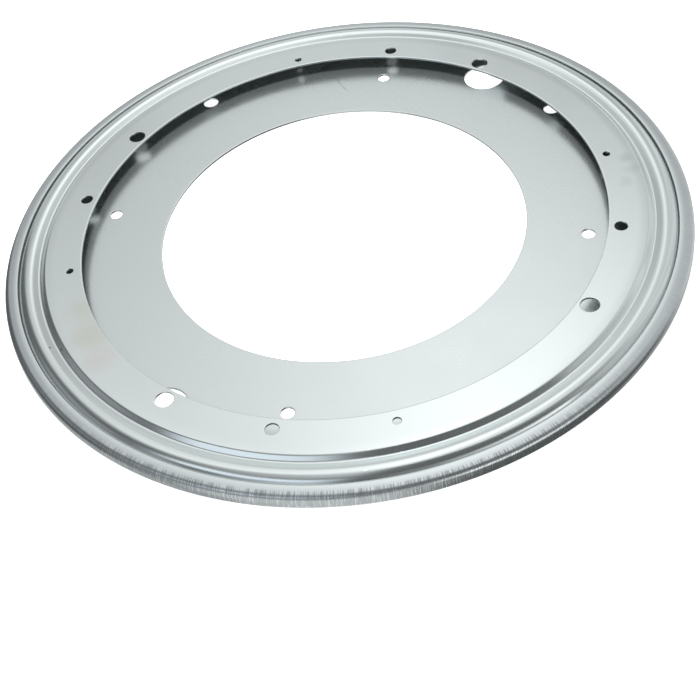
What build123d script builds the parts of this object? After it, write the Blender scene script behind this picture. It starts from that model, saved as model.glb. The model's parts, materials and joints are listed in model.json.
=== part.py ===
from build123d import *
import os
from math import cos, radians, sin, tan

# Round turntable bearing: two pressed steel rings that turn on a caged ring of balls.
# Millimetres and degrees. +Z is the turning axis, the origin is the centre of the underside,
# and the lower plate's inner screw holes lie on the X and Y axes.

# Sizes shared by the whole bearing
outer_diameter = 304.8  # across the rolled rim
sheet = 1.0  # thickness of both pressings
screws_per_circle = 4

# Balls and their races
ball_diameter = 5.5
ball_count = 48
race_clearance = 0.08  # between a ball and each race
race_inset = 11.6  # outside of the rim in to the ball circle
race_groove_radius = 4.8  # hollow side of both race grooves

# Ball retainer
retainer_thickness = 1.2
retainer_margin = 1.0  # ring left on each side of a pocket
pocket_clearance = 0.12

# Upper ring, from its bead inwards and outwards
tray_rise = 0.24  # tray face above the crown of the bead
inner_bead_angle = 27.0  # slope of the flank beside the crease
outer_bead_angle = 42.0  # slope of the flank beside the flange
inner_flank = 2.0  # straight part of the flank beside the crease
outer_flank = 1.3  # straight part of the flank beside the flange
crease_bend = 0.8  # hollow side of the crease
flange_bend = 0.8  # hollow side of the bend into the flange
step_angle = 36.0  # slope between the crease and the tray face
shoulder_bend = 1.0  # hollow side of the bend into the tray face
tray_flat_width = 16.4  # opening to the corner of the shoulder
tray_hole_inset = 5.3  # edge of the opening to the screw circle
tray_hole_step = 22.5  # turn from one hole size to the next
small_tray_hole = 3.3
medium_tray_hole = 5.6
large_tray_hole = 7.8
rest_turn = -0.9  # how far the ring is turned against the plate

# Lower plate, from its race inwards and outwards
groove_angle = 14.0  # slope beside the lower race
groove_flank = 0.05  # straight part of the slope outside the race
groove_edge_bend = 3.0  # hollow side of the bend outside the race
ridge_height = 1.2  # ridge inside the race
ridge_angle = 30.0  # slope between the ridge and the base flat
ridge_bend = 2.0  # hollow side of the ridge
ridge_foot_bend = 0.5  # hollow side of the bend into the base flat
rim_foot_bend = 0.4  # hollow side of the rim's lower bend
rim_roll_bend = 2.1  # hollow side of the rim's rolled top
lip_clearance = 0.35  # between the flange and the lip above it
lip_gap = 0.3  # between the bead and the edge of the lip
base_shelf = 34.9  # plate that shows inside the ring's opening
inner_base_hole = 5.7
inner_base_hole_inset = 8.2  # inside the edge of the ring's opening
outer_base_hole = 7.5
outer_base_hole_inset = 11.8  # from the foot of the ridge
outer_base_hole_turn = 45.0
access_hole = 19.6
access_hole_turn = 65.3
access_hole_count = 2


def bend_reach(radius, turn):
    """Length of straight line that a bend takes up on each side of its corner."""
    return radius * tan(radians(turn) / 2)


def bend_apex(radius, inner_slope, outer_slope):
    """Corner of two slopes, outwards and upwards from the top of the arc that rounds it."""
    inner, outer = radians(inner_slope), radians(outer_slope)
    along = radius * (cos(inner) - cos(outer)) / sin(inner + outer)
    rise = radius * ((sin(inner) + sin(outer)) / sin(inner + outer) - 1)
    return along, rise


def sheet_profile(corners, hollow_bends):
    """Section of a pressed sheet: one surface follows the corners, the other lies one sheet to their left."""
    face = [Vector(*corner) for corner in corners]
    runs = [(end - start).normalized() for start, end in zip(face, face[1:])]
    sides = [Vector(-run.Y, run.X) for run in runs]
    mitres = [(a + b) / (1 + a.dot(b)) for a, b in zip(sides, sides[1:])]
    back = [point + way * sheet for point, way in zip(face, [sides[0], *mitres, sides[-1]])]
    turns_left = [a.cross(b).Z > 0 for a, b in zip(runs, runs[1:])]
    face_bends = [bend + sheet * left for bend, left in zip(hollow_bends, turns_left)]
    back_bends = [bend + sheet * (not left) for bend, left in zip(hollow_bends, turns_left)]
    with BuildSketch(Plane.XZ) as profile:
        with BuildLine():
            face_line = FilletPolyline(face, radius=face_bends)
            back_line = FilletPolyline(back, radius=back_bends)
            Line(face_line @ 0, back_line @ 0)
            Line(face_line @ 1, back_line @ 1)
        make_face()
    return profile.sketch


def drill_circle(circle_radius, diameter, count, start_angle):
    """Drill holes through the pressing, evenly spaced on a circle."""
    with PolarLocations(circle_radius, count, start_angle=start_angle):
        Hole(diameter / 2)


os.makedirs("parts", exist_ok=True)

# Ball circle
race_radius = outer_diameter / 2 - race_inset
ball_height = sheet + race_clearance + ball_diameter / 2
pressed_race_radius = race_groove_radius + sheet

# Corners of the upper ring's top surface
crown_height = 2 * sheet + ball_diameter + 2 * race_clearance
tray_height = crown_height + tray_rise
apex_along, apex_rise = bend_apex(pressed_race_radius, inner_bead_angle, outer_bead_angle)
bead_apex_radius = race_radius + apex_along
bead_apex_height = crown_height + apex_rise
bead_reach = bend_reach(pressed_race_radius, inner_bead_angle + outer_bead_angle)
crease_run = bead_reach + inner_flank + bend_reach(crease_bend, inner_bead_angle + step_angle)
crease_radius = bead_apex_radius - crease_run * cos(radians(inner_bead_angle))
crease_height = bead_apex_height - crease_run * sin(radians(inner_bead_angle))
shoulder_radius = crease_radius - (tray_height - crease_height) / tan(radians(step_angle))
ring_opening_radius = shoulder_radius - tray_flat_width
flange_run = bead_reach + outer_flank + bend_reach(flange_bend, outer_bead_angle)
flange_radius = bead_apex_radius + flange_run * cos(radians(outer_bead_angle))
flange_height = bead_apex_height - flange_run * sin(radians(outer_bead_angle))
flange_edge_radius = outer_diameter / 2 - sheet - rim_roll_bend

ring_corners = [
    (flange_edge_radius, flange_height),
    (flange_radius, flange_height),
    (bead_apex_radius, bead_apex_height),
    (crease_radius, crease_height),
    (shoulder_radius, tray_height),
    (ring_opening_radius, tray_height),
]
ring_bends = [flange_bend, race_groove_radius, crease_bend, shoulder_bend]

tray_hole_radius = ring_opening_radius + tray_hole_inset

with BuildPart() as upper_ring:
    revolve(sheet_profile(ring_corners, ring_bends), axis=Axis.Z)
    drill_circle(tray_hole_radius, medium_tray_hole, screws_per_circle, rest_turn)
    drill_circle(tray_hole_radius, small_tray_hole, screws_per_circle, rest_turn + tray_hole_step)
    drill_circle(tray_hole_radius, large_tray_hole, screws_per_circle, rest_turn - tray_hole_step)
upper_ring.part.label = "upper_ring"
export_step(upper_ring.part, "parts/upper_ring.step")

# Corners of the lower plate's underside, then of the outside of its rim
groove_corner_height = -bend_apex(pressed_race_radius, groove_angle, groove_angle)[1]
groove_reach = bend_reach(pressed_race_radius, 2 * groove_angle)
groove_run = groove_reach + groove_flank + bend_reach(groove_edge_bend, groove_angle)
groove_edge_radius = race_radius + groove_run * cos(radians(groove_angle))
rim_foot_height = groove_corner_height + groove_run * sin(radians(groove_angle))
ridge_radius = race_radius - (ridge_height - groove_corner_height) / tan(radians(groove_angle))
ridge_foot_radius = ridge_radius - ridge_height / tan(radians(ridge_angle))
plate_opening_radius = ring_opening_radius - base_shelf
lip_height = flange_height + lip_clearance + sheet
flank_run_at_lip = (bead_apex_height - lip_height + sheet) / tan(radians(outer_bead_angle))
lip_edge_radius = bead_apex_radius + flank_run_at_lip + lip_gap / sin(radians(outer_bead_angle))

plate_corners = [
    (plate_opening_radius, 0),
    (ridge_foot_radius, 0),
    (ridge_radius, ridge_height),
    (race_radius, groove_corner_height),
    (groove_edge_radius, rim_foot_height),
    (outer_diameter / 2, rim_foot_height),
    (outer_diameter / 2, lip_height),
    (lip_edge_radius, lip_height),
]
plate_bends = [
    ridge_foot_bend,
    ridge_bend,
    race_groove_radius,
    groove_edge_bend,
    rim_foot_bend,
    rim_roll_bend,
]

inner_base_circle = ring_opening_radius - inner_base_hole_inset
outer_base_circle = ridge_foot_radius - outer_base_hole_inset

with BuildPart() as lower_plate:
    revolve(sheet_profile(plate_corners, plate_bends), axis=Axis.Z)
    drill_circle(inner_base_circle, inner_base_hole, screws_per_circle, 0)
    drill_circle(outer_base_circle, outer_base_hole, screws_per_circle, outer_base_hole_turn)
    drill_circle(outer_base_circle, access_hole, access_hole_count, access_hole_turn)
lower_plate.part.label = "lower_plate"
export_step(lower_plate.part, "parts/lower_plate.step")

# Retainer, a flat ring at the height of the ball centres
pocket_diameter = ball_diameter + 2 * pocket_clearance
retainer_half_width = pocket_diameter / 2 + retainer_margin

with BuildPart() as ball_retainer:
    with BuildSketch(Plane.XY.offset(ball_height)):
        Circle(race_radius + retainer_half_width)
        Circle(race_radius - retainer_half_width, mode=Mode.SUBTRACT)
        with PolarLocations(race_radius, ball_count):
            Circle(pocket_diameter / 2, mode=Mode.SUBTRACT)
    extrude(amount=retainer_thickness / 2, both=True)
ball_retainer.part.label = "ball_retainer"
export_step(ball_retainer.part, "parts/ball_retainer.step")

# Balls, one in each pocket
for index, seat in enumerate(PolarLocations(race_radius, ball_count)):
    with BuildPart(Plane(seat).offset(ball_height)) as ball:
        Sphere(ball_diameter / 2)
    ball.part.label = f"ball_{index + 1:02d}"
    export_step(ball.part, f"parts/{ball.part.label}.step")
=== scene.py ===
import json
from math import cos, pi, radians, sin, tan

import bpy
import numpy as np
from mathutils import Matrix, Vector


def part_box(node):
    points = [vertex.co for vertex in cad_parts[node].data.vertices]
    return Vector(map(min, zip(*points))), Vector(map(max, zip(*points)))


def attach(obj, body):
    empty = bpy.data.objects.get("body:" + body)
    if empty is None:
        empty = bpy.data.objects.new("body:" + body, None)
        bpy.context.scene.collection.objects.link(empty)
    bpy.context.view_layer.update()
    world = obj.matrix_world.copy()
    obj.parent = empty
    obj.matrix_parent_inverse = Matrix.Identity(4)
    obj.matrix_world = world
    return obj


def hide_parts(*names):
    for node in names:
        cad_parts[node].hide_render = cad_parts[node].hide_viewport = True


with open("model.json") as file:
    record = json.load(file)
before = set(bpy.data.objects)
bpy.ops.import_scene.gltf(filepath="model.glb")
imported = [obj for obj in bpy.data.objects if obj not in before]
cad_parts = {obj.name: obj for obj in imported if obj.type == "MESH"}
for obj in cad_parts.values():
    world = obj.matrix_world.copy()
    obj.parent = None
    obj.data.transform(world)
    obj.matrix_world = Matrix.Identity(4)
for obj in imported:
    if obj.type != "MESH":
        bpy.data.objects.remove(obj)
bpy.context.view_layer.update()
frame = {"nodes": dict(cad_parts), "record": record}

# Round turntable bearing. Sizes are millimetres and degrees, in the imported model's own frame.
MM = 0.001
mounts = {mount["name"]: mount for mount in frame["record"]["mounts"]}

# Both pressings
SHEET = 1.0
EDGE_ROUND = 0.15  # cut edges
EDGE_PULL = 4.0  # how far the punch drew the edge's round along the face on its own side
HOLE_PULL = 2.5  # the same at the screw holes
OUTER_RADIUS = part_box("lower_plate")[1].x / MM
RACE_INSET = 11.6  # outside of the rim in to the ball circle
RACE_RADIUS = OUTER_RADIUS - RACE_INSET
RACE_BEND = 4.8  # hollow side of both race grooves
TURN_STEPS = 576  # faces in one turn
ARC_STEP = 7.5  # angle of one face across a bend
LEAST_ARC_STEPS = 3
EDGE_STEPS = 4  # faces across a rounded cut edge
WELD_GRID = 1e-5  # points that round to the same step of this grid become one

# Upper ring
TRAY_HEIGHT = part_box("upper_ring")[1].z / MM
TRAY_RISE = 0.24  # tray face above the crown of the bead
INNER_BEAD_ANGLE = 27.0
OUTER_BEAD_ANGLE = 42.0
INNER_FLANK = 2.0
OUTER_FLANK = 1.3
CREASE_BEND = 0.8  # sets where the crease lies
CREASE_ROUND = 1.6  # hollow side of the crease as it shows, a little rounder
FLANGE_BEND = 0.8
STEP_ANGLE = 36.0
SHOULDER_BEND = 1.0
DROOP_ANGLE = 2.5  # the tray face sinks a little where the die drew it over the shoulder
DROOP_BEND = 70.0
DROOP_INSET = 2.6
RING_OPENING = mounts["ring_opening"]["dims"]["r_mm"]
RING_TURN = -0.9  # rest turn of the ring against the plate
TRAY_HOLE_STEP = 22.5
TRAY_HOLE_PATCH = 4.5  # half the turn of the patch of mesh that holds a hole
TRAY_RADIAL_STEPS = 12

# Lower plate
GROOVE_ANGLE = 14.0
GROOVE_FLANK = 0.05
GROOVE_EDGE_BEND = 3.0
RIDGE_HEIGHT = 1.2
RIDGE_ANGLE = 30.0
RIDGE_BEND = 2.0
RIDGE_FOOT_BEND = 0.5
RIM_FOOT_BEND = 0.4
RIM_ROLL_BEND = 2.1
LIP_CROWN = 147.6  # from here the lip falls a little towards the roll
LIP_CROWN_ANGLE = 7.0
LIP_CROWN_BEND = 12.0
LIP_CLEARANCE = 0.35
LIP_GAP = 0.3
PLATE_OPENING = mounts["centre_opening"]["dims"]["r_mm"]
INNER_HOLE_PATCH = 12.5
OUTER_HOLE_TURN = 45.0
OUTER_HOLE_PATCH = 8.0
ACCESS_HOLE_TURN = 65.3
ACCESS_HOLE_PATCH = 12.0
PLATE_RADIAL_STEPS = 16

# Zinc plating
RING_STEEL = "#D4DBDB"
PLATE_STEEL = "#CFD6D6"
RING_FINISH = (0.17, 0.20)  # roughness, from the clearest cloud to the dullest
PLATE_FINISH = (0.26, 0.30)
METAL_SHARE = 0.9  # the rest is a thin dull film on the plating
CLOUD_SCALE = 45.0  # clouds of about 20 mm
CLOUD_RANGE = (0.3, 0.7)  # noise values at the clearest cloud and at the dullest
CLOUD_DIM = 0.97
GRAIN_SCALE = 1200.0  # grains of just under a millimetre
GRAIN_DEPTH = 0.0015

# Balls and retainer
BALL_STEEL = "#D9DBDD"
BALL_FINISH = (0.06, 0.16)
BALL_CLOUDS = 700.0  # clouds of about 1.5 mm
NYLON_TONES = ("#D6D1C2", "#E4E0D4")
NYLON_FINISH = (0.38, 0.58)
FLOW_SCALE = 90.0  # flow pattern of about 11 mm
SKIN_SCALE = 1500.0  # satin skin of about 0.7 mm

# Marks on the tray face: place, radius, fade, share and colour of each patch
TRAY_PATCHES = [
    (-94, -63, 1.0, 11.0, 0.42, "#C6C9B8"),  # tan stain, in three parts
    (-86, -77, 2.0, 11.0, 0.45, "#C7C7B8"),
    (-78, -90, 1.0, 9.0, 0.35, "#CBC5BE"),
    (126, 47, 0.5, 5.0, 0.45, "#B0B6B6"),  # three grey smudges
    (129, 39, 0.5, 5.0, 0.35, "#B0B6B6"),
    (127, 30, 0.5, 4.5, 0.35, "#B6BBBC"),
]
PATCH_FINISH = 0.3
PATCH_NOISE = 140.0  # scale of the noise that makes the patches ragged, in steps of about 7 mm
PATCH_RAG = 8.0  # the most that it shifts a patch's edge
SPECKS = [(-106.3, -89.0, 7.2), (-101.3, -89.1, 6.7)]  # on the bead, and on the step inside it
SPECK_RADIUS = 0.3
SPECK_FADE = 0.4
SPECK_SHARE = 0.8
SPECK_COAT = ("#4A5152", 0.5)  # colour and roughness

# Marks on the plate: a scratch along an arc, and the rim's creases with painted shade and highlights
SCRATCH_CENTRE = (-5.94, 112.51, SHEET)
SCRATCH_RADIUS = 18.33
SCRATCH_CORE = 0.1  # from the arc to where the scratch begins to fade
SCRATCH_EDGE = 0.6
SCRATCH_MIDDLE = (-20.9, 102.0, SHEET)
SCRATCH_HALF = 4.5  # half of its length, up to where its ends begin to fade
SCRATCH_FADE = 3.0
SCRATCH_SHARE = 0.45
SCRATCH_COAT = ("#9BA1A3", 0.3)  # colour and roughness, as in the coats below
RIM_COAT = ("#BEC5C6", 0.28)
# Painted highlights on the ridges of the creases on the roll's lower half
RIDGE_HIGHLIGHT_COAT = ("#E0E6E6", 0.24)
# Painted shade in the hollows of the creases on the roll's upper half
CREASE_SHADE_COAT = ("#989EA0", 0.4)
RIM_START = (146.5, 148.5)  # radii across which the rim's dull metal sets in
ROLL_START = (148.2, 149.4)  # the same for its creases
ROLL_MIDDLE = (151.8, 150.6)  # from the lower half of the roll in to the upper half
RIM_CREASES = 1900.0  # scale of the creases, about one in each millimetre
RIM_STRETCH = 0.1  # how far the creases' pattern changes across the rim
CREASE_DEPTH = 0.08
CREASE_SHADE_RANGE = (0.56, 0.4)  # values of the pattern where the painted shade sets in and where it is full
RIDGE_HIGHLIGHT_RANGE = (0.5, 0.66)  # the same for the painted highlights on the ridges
WEAR_MIDDLE = (26.4, -149.7, 5.0)  # middle of the worn stretch of the rim
WEAR_REACH = 55
WEAR_FADE = 90
WEAR_ELSEWHERE = 0.18  # share of the creases' depth, and of their painted shade and highlights, on the rest of the rim

# View of the photo
LENS = 60.88
SENSOR = 36.0
CAMERA_PLACE = (123.19, -379.14, 355.71)
CAMERA_RIGHT = (0.97376508, 0.19086215, -0.12390803)
CAMERA_DOWN = (0.0624631, -0.74779489, -0.66098499)
VIEW_TURN = 18.0  # from +Y to straight ahead of the camera

# Studio: turn from, to and fade, lift from, to and fade, colour, light. Turns count from straight ahead
# of the camera, positive to its right; lifts count from the horizon. ALL leaves a side open.
ALL = 999
GLOOM = (0.008, 0.010, 0.011)
PANELS = [
    (-44, 37, 11, 43, 78, 18, "#FFFFFF", 0.97),  # softbox above the table
    (3, 15, 15, 41, ALL, 6, "#FFFFFF", 1.05),  # its bright middle
    (-9, 8, 4, -ALL, 49, 3, "#FFFFFF", 0.20),  # its glow down the backdrop
    (-36, 43, 5, -ALL, 37, 25, "#FFFFFF", 0.58),  # backdrop
    (-26, -6, 7, 35, 53, 6, "#FFFFFF", 0.07),  # its lighter left side
    (-67, -41, 7, 52, 66, 11, "#FFFFFF", 0.80),  # small lamp on the left
    (41, 72, 15, -24, ALL, 9, "#FFFFFF", 0.78),  # right wall
    (70, 109, 3, 2, 50, 11, "#FFFFFF", 0.55),  # white card on the right
    (64, 86, 9, -24, 2, 9, "#FFFFFF", 0.55),  # its foot
    (116, 163, 3, 16, 38, 5, "#FFFFFF", 1.55),  # lamp behind the camera, on its right
    (-96, -62, 8, 14, 34, 6, "#F4F8FF", 0.26),  # pale wall on the left
    (-115, -102, 3, -ALL, 45, 3, "#F4F8FF", 0.28),  # window frame on the left
    (-161, -103, 9, 39, 56, 5, "#EDF5FF", 1.30),  # window behind the camera, on its left
    (-170, 104, 3, 68, ALL, 22, "#FFFFFF", 0.65),  # ceiling
    (-110, 84, 12, -ALL, -16, 9, "#FFFFFF", 0.55),  # table top on the left
    (84, ALL, 12, -ALL, -16, 9, "#FFFFFF", 0.10),  # table top in shade on the right
    (166, ALL, 12, -ALL, 36, 15, "#FFFFFF", 0.70),  # white cloth below the camera
    (-ALL, -122, 9, -ALL, 24, 12, "#FFFFFF", 0.85),  # the same, past straight behind
]
FLOOR_HALF = 6000
FLOOR_DROP = 0.2  # below the part, so that their faces don't coincide
FLOOR_GLOW = 0.85
KEY_HEIGHT = 1500  # compact lamp straight above
KEY_SIZE = 290
KEY_ENERGY = 30


def bend_reach(radius, turn):
    """Straight length that a bend takes up beside its corner: radius times tan of half the turn."""
    return radius * tan(radians(turn) / 2)


def bend_apex(radius, inner_slope, outer_slope):
    """Corner of two slopes, outwards and upwards from the top of the arc that rounds it.

    Both slopes touch the arc, so the corner solves x sin(outer) + z cos(outer) = radius and
    z cos(inner) - x sin(inner) = radius, measured from the arc's centre.
    """
    inner, outer = radians(inner_slope), radians(outer_slope)
    along = radius * (cos(inner) - cos(outer)) / sin(inner + outer)
    rise = radius * ((sin(inner) + sin(outer)) / sin(inner + outer) - 1)
    return along, rise


def rounded_loop(corners, bends):
    """Closed outline whose corners are arcs: for each corner, rows of radius, height and outward normal.

    Along each arc the heading turns evenly from the run before the corner to the run after it, and the
    point lies one bend radius from the arc's centre, square to the heading. Material lies to the left.
    """
    corners = np.asarray(corners, float)
    before = corners - np.roll(corners, 1, axis=0)
    after = np.roll(before, -1, axis=0)
    heading = np.arctan2(before[:, 1], before[:, 0])
    cross = before[:, 0] * after[:, 1] - before[:, 1] * after[:, 0]
    turn = np.arctan2(cross, (before * after).sum(axis=1))
    arcs = []
    for corner, start, swing, bend in zip(corners, heading, turn, bends):
        steps = max(LEAST_ARC_STEPS, round(abs(np.degrees(swing)) / ARC_STEP))
        if bend == EDGE_ROUND:
            steps = EDGE_STEPS
        way = start + swing * np.linspace(0, 1, steps + 1)
        left = np.stack([-np.sin(way), np.cos(way)], axis=1)
        begin = corner - bend * tan(abs(swing) / 2) * np.array([cos(start), sin(start)])
        points = begin + np.sign(swing) * bend * (left[0] - left)
        arcs.append(np.hstack([points, -left]))
    return arcs


def drawn_edge(arc, pull):
    """Quarter circle drawn out along the sheet into a quarter ellipse; its wall stays where it is."""
    wall = arc[np.abs(arc[:, 2]).argmax(), 0]
    drawn = arc.copy()
    drawn[:, 0] = wall + pull * (arc[:, 0] - wall)
    drawn[:, 2] /= pull
    drawn[:, 2:] /= np.linalg.norm(drawn[:, 2:], axis=1)[:, None]
    return drawn


def sheet_outline(face, hollow_bends, punched):
    """Outline of a bent sheet: the given face, and its back one sheet to the left, mitred at each corner.

    The sheet ends level at both cut edges. punched lists the corners of the outline on the punch's side.
    """
    face = np.asarray(face, float)
    runs = np.diff(face, axis=0)
    runs /= np.linalg.norm(runs, axis=1)[:, None]
    sides = np.stack([-runs[:, 1], runs[:, 0]], axis=1)
    mitres = (sides[:-1] + sides[1:]) / (1 + (sides[:-1] * sides[1:]).sum(axis=1))[:, None]
    back = face + SHEET * np.vstack([sides[:1], mitres, sides[-1:]])
    turns_left = runs[:-1, 0] * runs[1:, 1] - runs[:-1, 1] * runs[1:, 0] > 0
    hollow = np.asarray(hollow_bends, float)
    cut = [EDGE_ROUND]
    face_bends = np.concatenate([cut, hollow + SHEET * turns_left, cut])
    back_bends = np.concatenate([cut, hollow + SHEET * ~turns_left, cut])
    loop = rounded_loop(np.vstack([face, back[::-1]]), np.concatenate([face_bends, back_bends[::-1]]))
    for corner in punched:
        loop[corner] = drawn_edge(loop[corner], EDGE_PULL)
    return loop


class Patches:
    """Grids of points and normals that are welded into one closed mesh."""

    def __init__(self):
        self.points, self.normals, self.faces = [], [], []
        self.count = 0

    def add(self, points, normals, closed=False):
        """Adds a grid; a closed grid joins its last column to its first."""
        rows, columns = points.shape[:2]
        index = self.count + np.arange(rows * columns).reshape(rows, columns)
        if closed:
            index = np.hstack([index, index[:, :1]])
        quads = np.stack([index[:-1, :-1], index[:-1, 1:], index[1:, 1:], index[1:, :-1]], axis=-1)
        self.points.append(points.reshape(-1, 3))
        self.normals.append(normals.reshape(-1, 3))
        self.faces.append(quads.reshape(-1, 4))
        self.count += rows * columns

    def mesh(self, name):
        """One mesh: points that coincide become one, and each face is turned to agree with its normals."""
        points, normals, faces = map(np.vstack, (self.points, self.normals, self.faces))
        grid = np.round(points / WELD_GRID)
        _, first, same = np.unique(grid, axis=0, return_index=True, return_inverse=True)
        points, normals, faces = points[first], normals[first], same.reshape(-1)[faces]
        diagonals = [points[faces[:, i + 2]] - points[faces[:, i]] for i in range(2)]
        inward = (np.cross(*diagonals) * normals[faces].sum(axis=1)).sum(axis=1) < 0
        faces[inward] = faces[inward, ::-1]
        mesh = bpy.data.meshes.new(name)
        mesh.from_pydata((points * MM).tolist(), [], faces.tolist())
        mesh.shade_smooth()
        mesh.normals_split_custom_set_from_vertices(normals.tolist())
        return mesh


def spun(section, turns):
    """Points and normals of a section of radius, height and normal, spun to each of the turns."""
    radius, height, out, up = (section[:, i, None] for i in range(4))
    x, y = np.cos(turns)[None, :], np.sin(turns)[None, :]
    ones = np.ones_like(x)
    points = np.stack([radius * x, radius * y, height * ones], axis=-1)
    normals = np.stack([out * x, out * y, up * ones], axis=-1)
    return points, normals


def sector_edge(inner, outer, turns, radial_steps):
    """Closed edge of a ring sector: round the inner arc, out, back round the outer arc, and in."""
    radii = np.linspace(inner, outer, radial_steps + 1)[1:-1]
    arc = np.ones(len(turns))
    side = np.ones(len(radii))
    radius = np.concatenate([inner * arc, radii, outer * arc, radii[::-1]])
    angle = np.concatenate([turns, turns[-1] * side, turns[::-1], turns[0] * side])
    return np.stack([radius * np.cos(angle), radius * np.sin(angle)], axis=1)


def drilled_sector(patches, top, bottom, turns, centre, hole_radius, radial_steps):
    """Sector of a flat sheet with one round hole.

    Every row is a ring: the sector's edge on top, the hole's wall with a rounded edge at each end (a
    quarter ellipse that leaves the face level and meets the wall upright), and the sector's edge below.
    """
    top_edge = sector_edge(top[0], top[1], turns, radial_steps)
    bottom_edge = sector_edge(bottom[0], bottom[1], turns, radial_steps)
    away = top_edge - centre
    away /= np.linalg.norm(away, axis=1)[:, None]
    quarter = np.radians(np.linspace(0, 90, EDGE_STEPS + 1))
    swing = np.concatenate([quarter, pi - quarter[::-1]])
    middle = np.repeat([top[2] - EDGE_ROUND, bottom[2] + EDGE_ROUND], len(quarter))
    pull = np.repeat([HOLE_PULL, 1.0], len(quarter))
    reach = hole_radius + EDGE_ROUND * pull * (1 - np.sin(swing))
    height = middle + EDGE_ROUND * np.cos(swing)
    lean = np.hypot(np.sin(swing) / pull, np.cos(swing))
    inward, upward = np.sin(swing) / pull / lean, np.cos(swing) / lean
    shape = (len(swing), len(away))
    wall = np.dstack([centre + reach[:, None, None] * away, np.broadcast_to(height[:, None], shape)])
    tilt = np.dstack([-inward[:, None, None] * away, np.broadcast_to(upward[:, None], shape)])
    rims = [
        np.dstack([edge[None], np.full((1, len(edge)), side[2])])
        for edge, side in ((top_edge, top), (bottom_edge, bottom))
    ]
    points = np.concatenate([rims[0], wall, rims[1]])
    normals = np.concatenate([tilt[:1], tilt, tilt[-1:]])
    patches.add(points, normals, closed=True)


def pressing(name, outline, flat, holes, start_turn, radial_steps):
    """Spun sheet with one drilled flat.

    flat gives four corners of the outline, in order: the ends of the flat on one face, then on the other.
    holes lists the turn, half the patch's turn, the circle's radius and the hole's radius.
    """
    patches = Patches()
    face_start, face_end, back_start, back_end = flat
    arcs = outline[face_end:] + outline[:face_end]
    split = back_start - face_end + 1
    whole_turn = radians(start_turn) + 2 * pi * np.arange(TURN_STEPS) / TURN_STEPS
    for part in (arcs[:split], arcs[split:]):
        points, normals = spun(np.vstack(part), whole_turn)
        patches.add(points, normals, closed=True)

    flats = []
    for start, end in ((face_start, face_end), (back_start, back_end)):
        inner, outer = sorted([outline[start][-1, 0], outline[end][0, 0]])
        flats.append((inner, outer, outline[start][-1, 1], outline[start][-1, 3]))
    flats.sort(key=lambda face: -face[2])

    drilled = []
    for turn, half_patch, circle, hole_radius in holes:
        ends = [round((turn + side - start_turn) * TURN_STEPS / 360) for side in (-half_patch, half_patch)]
        turns = radians(start_turn) + 2 * pi * np.arange(ends[0], ends[1] + 1) / TURN_STEPS
        centre = circle * np.array([cos(radians(turn)), sin(radians(turn))])
        drilled_sector(patches, flats[0], flats[1], turns, centre, hole_radius, radial_steps)
        drilled.append(ends)
    drilled.sort()
    following = drilled[1:] + [[drilled[0][0] + TURN_STEPS]]
    for low, high in ((here[1], there[0]) for here, there in zip(drilled, following)):
        turns = radians(start_turn) + 2 * pi * np.arange(low, high + 1) / TURN_STEPS
        for inner, outer, height, up in flats:
            radii = np.linspace(inner, outer, radial_steps + 1)
            ones = np.ones_like(radii)
            points, normals = spun(np.column_stack([radii, height * ones, 0 * ones, up * ones]), turns)
            patches.add(points, normals)
    return bpy.data.objects.new(name, patches.mesh(name))


def make_upper_ring(apex, flange):
    """The turning ring: a drilled tray flat, a step down to a crease, the bead over the balls, a flange."""
    reach = bend_reach(RACE_BEND + SHEET, INNER_BEAD_ANGLE + OUTER_BEAD_ANGLE)
    crease_run = reach + INNER_FLANK + bend_reach(CREASE_BEND, INNER_BEAD_ANGLE + STEP_ANGLE)
    crease_radius = apex[0] - crease_run * cos(radians(INNER_BEAD_ANGLE))
    crease_height = apex[1] - crease_run * sin(radians(INNER_BEAD_ANGLE))
    fall = tan(radians(STEP_ANGLE))
    droop = tan(radians(DROOP_ANGLE))
    corner = crease_radius - (TRAY_HEIGHT - crease_height) / fall
    droop_radius = corner - DROOP_INSET
    shoulder = (corner * fall - droop_radius * droop) / (fall - droop)
    face = [
        (OUTER_RADIUS - SHEET - RIM_ROLL_BEND, flange[1]),
        flange,
        apex,
        (crease_radius, crease_height),
        (shoulder, TRAY_HEIGHT - (shoulder - droop_radius) * droop),
        (droop_radius, TRAY_HEIGHT),
        (RING_OPENING, TRAY_HEIGHT),
    ]
    bends = [FLANGE_BEND, RACE_BEND, CREASE_ROUND, SHOULDER_BEND, DROOP_BEND]
    outline = sheet_outline(face, bends, punched=[6])
    holes = []
    sizes = (
        ("tray_screws_medium", 0),
        ("tray_screws_small", TRAY_HOLE_STEP),
        ("tray_screws_large", -TRAY_HOLE_STEP),
    )
    for mount, offset in sizes:
        dims = mounts[mount]["dims"]
        for index in range(dims["count"]):
            turn = RING_TURN + offset + 360 * index / dims["count"]
            holes.append((turn, TRAY_HOLE_PATCH, dims["pcd_mm"] / 2, dims["hole_r_mm"]))
    return pressing("turning_ring", outline, (5, 6, 7, 8), holes, RING_TURN, TRAY_RADIAL_STEPS)


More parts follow.
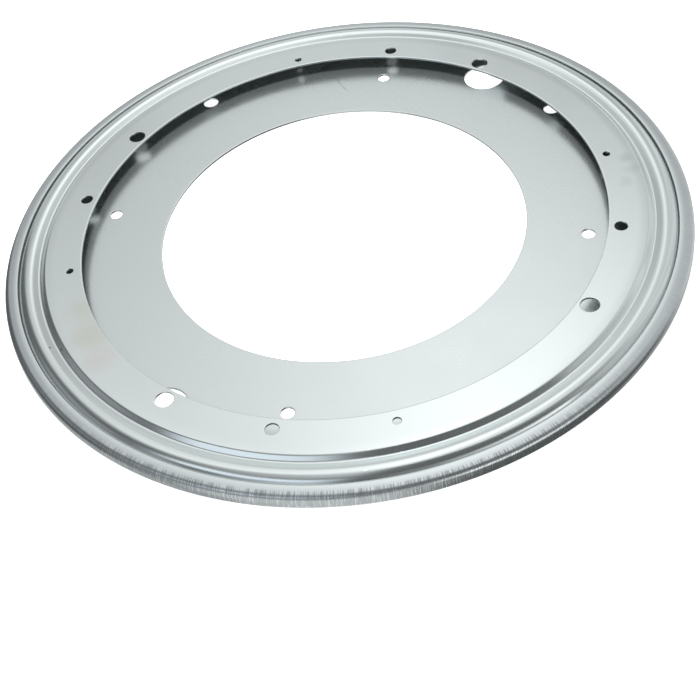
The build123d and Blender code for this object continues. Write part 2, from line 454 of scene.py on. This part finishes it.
def make_lower_plate(apex, flange):
    """The fixed plate: a drilled base flat, a low ridge, the ball groove, an edge rolled over the ring."""
    pressed = RACE_BEND + SHEET
    groove = -bend_apex(pressed, GROOVE_ANGLE, GROOVE_ANGLE)[1]
    groove_reach = bend_reach(pressed, 2 * GROOVE_ANGLE)
    groove_run = groove_reach + GROOVE_FLANK + bend_reach(GROOVE_EDGE_BEND, GROOVE_ANGLE)
    edge_radius = RACE_RADIUS + groove_run * cos(radians(GROOVE_ANGLE))
    edge_height = groove + groove_run * sin(radians(GROOVE_ANGLE))
    ridge = RACE_RADIUS - (RIDGE_HEIGHT - groove) / tan(radians(GROOVE_ANGLE))
    foot = ridge - RIDGE_HEIGHT / tan(radians(RIDGE_ANGLE))
    lip_height = flange[1] + LIP_CLEARANCE + SHEET
    lip_run = (apex[1] - lip_height + SHEET) / tan(radians(OUTER_BEAD_ANGLE))
    lip_edge = apex[0] + lip_run + LIP_GAP / sin(radians(OUTER_BEAD_ANGLE))
    face = [
        (PLATE_OPENING, 0),
        (foot, 0),
        (ridge, RIDGE_HEIGHT),
        (RACE_RADIUS, groove),
        (edge_radius, edge_height),
        (OUTER_RADIUS, edge_height),
        (OUTER_RADIUS, lip_height - (OUTER_RADIUS - LIP_CROWN) * tan(radians(LIP_CROWN_ANGLE))),
        (LIP_CROWN, lip_height),
        (lip_edge, lip_height),
    ]
    bends = [RIDGE_FOOT_BEND, RIDGE_BEND, RACE_BEND, GROOVE_EDGE_BEND]
    bends += [RIM_FOOT_BEND, RIM_ROLL_BEND, LIP_CROWN_BEND]
    outline = sheet_outline(face, bends, punched=[8, 17])
    inner, outer = (mounts[name]["dims"] for name in ("base_screws_inner", "base_screws_outer"))
    holes = []
    for index in range(inner["count"]):
        turn = 360 * index / inner["count"]
        holes.append((turn, INNER_HOLE_PATCH, inner["pcd_mm"] / 2, inner["hole_r_mm"]))
        holes.append((turn + OUTER_HOLE_TURN, OUTER_HOLE_PATCH, outer["pcd_mm"] / 2, outer["hole_r_mm"]))
    for index, mount in enumerate(("access_hole_1", "access_hole_2")):
        turn = ACCESS_HOLE_TURN + 180 * index
        holes.append((turn, ACCESS_HOLE_PATCH, outer["pcd_mm"] / 2, mounts[mount]["dims"]["r_mm"]))
    return pressing("rolled_plate", outline, (0, 1, 16, 17), holes, 0, PLATE_RADIAL_STEPS)


def hex_colour(code):
    """Linear colour of an sRGB hex value."""
    value = np.array([int(code[i:i + 2], 16) for i in (1, 3, 5)]) / 255
    linear = np.where(value <= 0.04045, value / 12.92, ((value + 0.055) / 1.055) ** 2.4)
    return (*linear.tolist(), 1.0)


def add_node(tree, kind, links=None, **settings):
    """Adds a node with its settings; links maps an input to a value or to another node's output."""
    node = tree.nodes.new(kind)
    for name, value in settings.items():
        setattr(node, name, value)
    for key, value in (links or {}).items():
        if isinstance(value, bpy.types.NodeSocket):
            tree.links.new(value, node.inputs[key])
        else:
            node.inputs[key].default_value = value
    return node


def new_material(name):
    """An empty node material, its tree, its Principled shader and the object coordinates."""
    material = bpy.data.materials.new(name)
    material.use_nodes = True
    tree = material.node_tree
    shader = next(node for node in tree.nodes if node.type == "BSDF_PRINCIPLED")
    place = add_node(tree, "ShaderNodeTexCoord").outputs["Object"]
    return material, tree, shader, place


def patch_mask(tree, place, centre, radius, fade, share):
    """Share of a round patch, full within its radius and gone one fade beyond it."""
    away = add_node(
        tree, "ShaderNodeVectorMath", {0: place, 1: [MM * value for value in centre]}, operation="DISTANCE"
    )
    settings = {
        "Value": away.outputs["Value"],
        "From Min": MM * (radius + fade),
        "From Max": MM * radius,
        "To Max": share,
    }
    return add_node(tree, "ShaderNodeMapRange", settings, interpolation_type="SMOOTHSTEP").outputs["Result"]


def ring_marks(tree, place):
    """Handling marks on the turning ring: a faint tan stain, three grey smudges and two dark specks.

    Returns coats (mask, colour and roughness) and reliefs (height and distance), as plate_marks does.
    """
    ragged = add_node(tree, "ShaderNodeTexNoise", {"Vector": place, "Scale": PATCH_NOISE, "Detail": 3.0})
    shifted = add_node(
        tree, "ShaderNodeVectorMath",
        {0: ragged.outputs["Color"], 1: (MM * PATCH_RAG, MM * PATCH_RAG, 0.0), 2: place},
        operation="MULTIPLY_ADD",
    ).outputs["Vector"]
    coats = []
    for x, y, radius, fade, share, colour in TRAY_PATCHES:
        mask = patch_mask(tree, shifted, (x, y, TRAY_HEIGHT), radius, fade, share)
        coats.append((mask, colour, PATCH_FINISH))
    for centre in SPECKS:
        mask = patch_mask(tree, place, centre, SPECK_RADIUS, SPECK_FADE, SPECK_SHARE)
        coats.append((mask, *SPECK_COAT))
    return coats, []


def plate_marks(tree, place):
    """Marks on the fixed plate: a curved scratch, and the curled rim's dull metal with its fine creases,
    painted shade in their hollows and painted highlights on their ridges.
    """
    centre = [MM * value for value in SCRATCH_CENTRE]
    away = add_node(tree, "ShaderNodeVectorMath", {0: place, 1: centre}, operation="DISTANCE")
    arc = {0: away.outputs["Value"], 1: MM * SCRATCH_RADIUS}
    off_arc = add_node(tree, "ShaderNodeMath", arc, operation="SUBTRACT")
    off_arc = add_node(tree, "ShaderNodeMath", {0: off_arc.outputs[0]}, operation="ABSOLUTE")
    scratch = add_node(
        tree, "ShaderNodeMapRange",
        {
            "Value": off_arc.outputs[0],
            "From Min": MM * SCRATCH_EDGE,
            "From Max": MM * SCRATCH_CORE,
            "To Max": patch_mask(tree, place, SCRATCH_MIDDLE, SCRATCH_HALF, SCRATCH_FADE, SCRATCH_SHARE),
        },
    ).outputs["Result"]

    level = add_node(tree, "ShaderNodeVectorMath", {0: place, 1: (1, 1, 0)}, operation="MULTIPLY")
    radius = add_node(tree, "ShaderNodeVectorMath", {0: level.outputs["Vector"]}, operation="LENGTH")
    rim, roll, shade = (
        add_node(
            tree, "ShaderNodeMapRange",
            {"Value": radius.outputs["Value"], "From Min": MM * start, "From Max": MM * end},
            interpolation_type="SMOOTHSTEP",
        ).outputs["Result"]
        for start, end in (RIM_START, ROLL_START, ROLL_MIDDLE)
    )
    # Creases run across the rim: the pattern is stretched along the roll and keeps its scale around it
    outward = add_node(tree, "ShaderNodeVectorMath", {0: level.outputs["Vector"]}, operation="NORMALIZE")
    drawn = add_node(tree, "ShaderNodeVectorMath", {0: place, 1: (0, 0, RIM_STRETCH)}, operation="MULTIPLY")
    reach = (MM * OUTER_RADIUS, MM * OUTER_RADIUS, 0)
    around = add_node(
        tree, "ShaderNodeVectorMath",
        {0: outward.outputs["Vector"], 1: reach, 2: drawn.outputs["Vector"]},
        operation="MULTIPLY_ADD",
    ).outputs["Vector"]
    crease = add_node(
        tree, "ShaderNodeTexNoise", {"Vector": around, "Scale": RIM_CREASES, "Detail": 1.0}
    ).outputs["Fac"]
    worn = patch_mask(tree, place, WEAR_MIDDLE, WEAR_REACH, WEAR_FADE, 1.0)
    wear = add_node(tree, "ShaderNodeMapRange", {"Value": worn, "To Min": WEAR_ELSEWHERE})
    depth = add_node(
        tree, "ShaderNodeMath", {0: wear.outputs["Result"], 1: roll}, operation="MULTIPLY"
    ).outputs[0]
    height = add_node(tree, "ShaderNodeMath", {0: crease, 1: depth}, operation="MULTIPLY")
    # Painted shade darkens the hollows of the creases on the roll's upper half; on its lower half the
    # ridges get a painted highlight
    shaded_depth = add_node(tree, "ShaderNodeMath", {0: depth, 1: shade}, operation="MULTIPLY").outputs[0]
    highlit_depth = add_node(tree, "ShaderNodeMath", {0: depth, 1: shaded_depth}, operation="SUBTRACT").outputs[0]
    crease_shade, ridge_highlight = (
        add_node(
            tree, "ShaderNodeMapRange",
            {"Value": crease, "From Min": start, "From Max": full, "To Max": share},
        ).outputs["Result"]
        for (start, full), share in ((CREASE_SHADE_RANGE, shaded_depth), (RIDGE_HIGHLIGHT_RANGE, highlit_depth))
    )
    coats = [(scratch, *SCRATCH_COAT), (rim, *RIM_COAT), (ridge_highlight, *RIDGE_HIGHLIGHT_COAT), (crease_shade, *CREASE_SHADE_COAT)]
    return coats, [(height.outputs[0], MM * CREASE_DEPTH)]


def zinc_plated_steel(name, colour, finish, marks):
    """Zinc-plated sheet steel, pressed and barrel plated: a cool grey mirror, softened by a fine grain."""
    material, tree, shader, place = new_material(name)
    cloud = add_node(tree, "ShaderNodeTexNoise", {"Vector": place, "Scale": CLOUD_SCALE, "Detail": 4.0})
    rough = add_node(
        tree, "ShaderNodeMapRange",
        {
            "Value": cloud.outputs["Fac"],
            "From Min": CLOUD_RANGE[0],
            "From Max": CLOUD_RANGE[1],
            "To Min": finish[0],
            "To Max": finish[1],
        },
    ).outputs["Result"]
    coats, reliefs = marks(tree, place)
    dim = [CLOUD_DIM * value for value in hex_colour(colour)[:3]] + [1.0]
    base = add_node(
        tree, "ShaderNodeMix", {0: cloud.outputs["Fac"], 6: dim, 7: hex_colour(colour)}, data_type="RGBA"
    ).outputs[2]
    for mask, coat, coat_rough in coats:
        tint = add_node(tree, "ShaderNodeMix", {0: mask, 6: base, 7: hex_colour(coat)}, data_type="RGBA")
        dull = add_node(tree, "ShaderNodeMix", {0: mask, 2: rough, 3: coat_rough}, data_type="FLOAT")
        base, rough = tint.outputs[2], dull.outputs[0]
    # Grain is finer than a tenth of a millimetre on the part; it is drawn coarser so that it shows
    grain = add_node(tree, "ShaderNodeTexNoise", {"Vector": place, "Scale": GRAIN_SCALE, "Detail": 2.0})
    bump = {"Height": grain.outputs["Fac"], "Distance": MM * GRAIN_DEPTH}
    normal = add_node(tree, "ShaderNodeBump", bump)
    for height, distance in reliefs:
        bump = {"Height": height, "Distance": distance, "Normal": normal.outputs["Normal"]}
        normal = add_node(tree, "ShaderNodeBump", bump)
    shader.inputs["Metallic"].default_value = METAL_SHARE
    tree.links.new(base, shader.inputs["Base Color"])
    tree.links.new(rough, shader.inputs["Roughness"])
    tree.links.new(normal.outputs["Normal"], shader.inputs["Normal"])
    return material


def bearing_steel():
    """Ground and polished bearing steel: a bright mirror with faint lapping clouds."""
    material, tree, shader, place = new_material("polished bearing steel")
    cloud = add_node(tree, "ShaderNodeTexNoise", {"Vector": place, "Scale": BALL_CLOUDS, "Detail": 3.0})
    rough = add_node(
        tree, "ShaderNodeMapRange",
        {"Value": cloud.outputs["Fac"], "To Min": BALL_FINISH[0], "To Max": BALL_FINISH[1]},
    )
    shader.inputs["Base Color"].default_value = hex_colour(BALL_STEEL)
    shader.inputs["Metallic"].default_value = 1.0
    tree.links.new(rough.outputs["Result"], shader.inputs["Roughness"])
    return material


def natural_nylon():
    """Unfilled moulded nylon: milky, slightly yellow, with a satin skin and a faint flow pattern."""
    material, tree, shader, place = new_material("natural nylon")
    flow = add_node(tree, "ShaderNodeTexNoise", {"Vector": place, "Scale": FLOW_SCALE, "Detail": 3.0})
    tone = add_node(
        tree, "ShaderNodeMix",
        {0: flow.outputs["Fac"], 6: hex_colour(NYLON_TONES[0]), 7: hex_colour(NYLON_TONES[1])},
        data_type="RGBA",
    )
    skin = add_node(tree, "ShaderNodeTexNoise", {"Vector": place, "Scale": SKIN_SCALE, "Detail": 2.0})
    rough = add_node(
        tree, "ShaderNodeMapRange",
        {"Value": skin.outputs["Fac"], "To Min": NYLON_FINISH[0], "To Max": NYLON_FINISH[1]},
    )
    tree.links.new(tone.outputs[2], shader.inputs["Base Color"])
    tree.links.new(rough.outputs["Result"], shader.inputs["Roughness"])
    return material


def studio_world():
    """A studio round the part: panels of light that fade smoothly at their edges, over a dim room.

    A panel's share is the product of one smooth step for each of its sides. The camera sees white.
    """
    world = bpy.data.worlds.new("studio")
    bpy.context.scene.world = world
    world.use_nodes = True
    tree = world.node_tree
    tree.nodes.clear()
    place = add_node(tree, "ShaderNodeTexCoord").outputs["Generated"]
    turned = add_node(
        tree, "ShaderNodeVectorRotate",
        {"Vector": place, "Angle": -radians(VIEW_TURN)},
        rotation_type="Z_AXIS",
    )
    x, y, z = add_node(tree, "ShaderNodeSeparateXYZ", {"Vector": turned.outputs["Vector"]}).outputs
    turn = add_node(tree, "ShaderNodeMath", {0: x, 1: y}, operation="ARCTAN2")
    lift = add_node(tree, "ShaderNodeMath", {0: z}, operation="ARCSINE")
    total = GLOOM
    for turn_from, turn_to, turn_fade, lift_from, lift_to, lift_fade, colour, light in PANELS:
        share = 1.0
        sides = (
            (turn, turn_from, turn_fade),
            (turn, turn_to, -turn_fade),
            (lift, lift_from, lift_fade),
            (lift, lift_to, -lift_fade),
        )
        for value, edge, fade in sides:
            if abs(edge) == ALL:
                continue
            step = {
                "Value": value.outputs[0],
                "From Min": radians(edge - fade),
                "From Max": radians(edge + fade),
                "To Max": share,
            }
            smooth = add_node(tree, "ShaderNodeMapRange", step, interpolation_type="SMOOTHSTEP")
            share = smooth.outputs["Result"]
        tint = [light * value for value in hex_colour(colour)[:3]]
        total = add_node(
            tree, "ShaderNodeVectorMath", {0: share, 1: tint, 2: total}, operation="MULTIPLY_ADD"
        ).outputs["Vector"]
    seen = add_node(tree, "ShaderNodeLightPath").outputs["Is Camera Ray"]
    shown = add_node(tree, "ShaderNodeMix", {0: seen, 6: total, 7: (1, 1, 1, 1)}, data_type="RGBA")
    glow = add_node(tree, "ShaderNodeBackground", {"Color": shown.outputs[2]})
    add_node(tree, "ShaderNodeOutputWorld", {"Surface": glow.outputs[0]})


def make_floor():
    """A lit white table top under the part."""
    mesh = bpy.data.meshes.new("floor")
    corners = [
        (x * MM * FLOOR_HALF, y * MM * FLOOR_HALF, -MM * FLOOR_DROP)
        for x, y in ((-1, -1), (1, -1), (1, 1), (-1, 1))
    ]
    mesh.from_pydata(corners, [], [(0, 1, 2, 3)])
    material, _, shader, _ = new_material("opal table top")
    shader.inputs["Base Color"].default_value = hex_colour("#F4F4F4")
    shader.inputs["Roughness"].default_value = 0.9
    shader.inputs["Emission Color"].default_value = hex_colour("#FFFFFF")
    shader.inputs["Emission Strength"].default_value = FLOOR_GLOW
    mesh.materials.append(material)
    floor = bpy.data.objects.new("floor", mesh)
    bpy.context.scene.collection.objects.link(floor)
    floor.visible_glossy = False
    floor.visible_diffuse = False


def make_key_light():
    """A compact lamp that draws the shadows; the metal mirrors the panels, not the lamp."""
    lamp = bpy.data.lights.new("key", "AREA")
    lamp.energy = KEY_ENERGY
    lamp.size = MM * KEY_SIZE
    key = bpy.data.objects.new("key", lamp)
    key.location = (0, 0, MM * KEY_HEIGHT)
    key.visible_glossy = False
    bpy.context.scene.collection.objects.link(key)


def make_camera():
    """The camera of the photo, without depth of field or shift."""
    data = bpy.data.cameras.new("camera")
    data.lens = LENS
    data.sensor_width = SENSOR
    data.clip_start = 0.01
    camera = bpy.data.objects.new("camera", data)
    right, down = Vector(CAMERA_RIGHT), Vector(CAMERA_DOWN)
    axes = Matrix((right, -down, -right.cross(down))).transposed()
    camera.matrix_world = Matrix.Translation(MM * Vector(CAMERA_PLACE)) @ axes.to_4x4()
    bpy.context.scene.collection.objects.link(camera)
    bpy.context.scene.camera = camera


# Corners that both pressings are built from: the bead's apex, and the bend into the ring's flange
along, rise = bend_apex(RACE_BEND + SHEET, INNER_BEAD_ANGLE, OUTER_BEAD_ANGLE)
bead_apex = (RACE_RADIUS + along, TRAY_HEIGHT - TRAY_RISE + rise)
bead_reach = bend_reach(RACE_BEND + SHEET, INNER_BEAD_ANGLE + OUTER_BEAD_ANGLE)
flange_run = bead_reach + OUTER_FLANK + bend_reach(FLANGE_BEND, OUTER_BEAD_ANGLE)
flange_corner = (
    bead_apex[0] + flange_run * cos(radians(OUTER_BEAD_ANGLE)),
    bead_apex[1] - flange_run * sin(radians(OUTER_BEAD_ANGLE)),
)

turning_ring = make_upper_ring(bead_apex, flange_corner)
rolled_plate = make_lower_plate(bead_apex, flange_corner)
pieces = (
    (turning_ring, "turntable", "upper_ring", RING_STEEL, RING_FINISH, ring_marks),
    (rolled_plate, "base", "lower_plate", PLATE_STEEL, PLATE_FINISH, plate_marks),
)
for piece, body, node, colour, finish, marks in pieces:
    bpy.context.scene.collection.objects.link(piece)
    piece.data.materials.append(zinc_plated_steel(f"zinc-plated steel, {node}", colour, finish, marks))
    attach(piece, body)
    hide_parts(node)

steel, nylon = bearing_steel(), natural_nylon()
for name, node in frame["nodes"].items():
    if name.startswith("ball_"):
        node.data.materials.clear()
        node.data.materials.append(nylon if name == "ball_retainer" else steel)

make_floor()
make_key_light()
make_camera()
studio_world()
bpy.context.scene.view_settings.view_transform = "Standard"
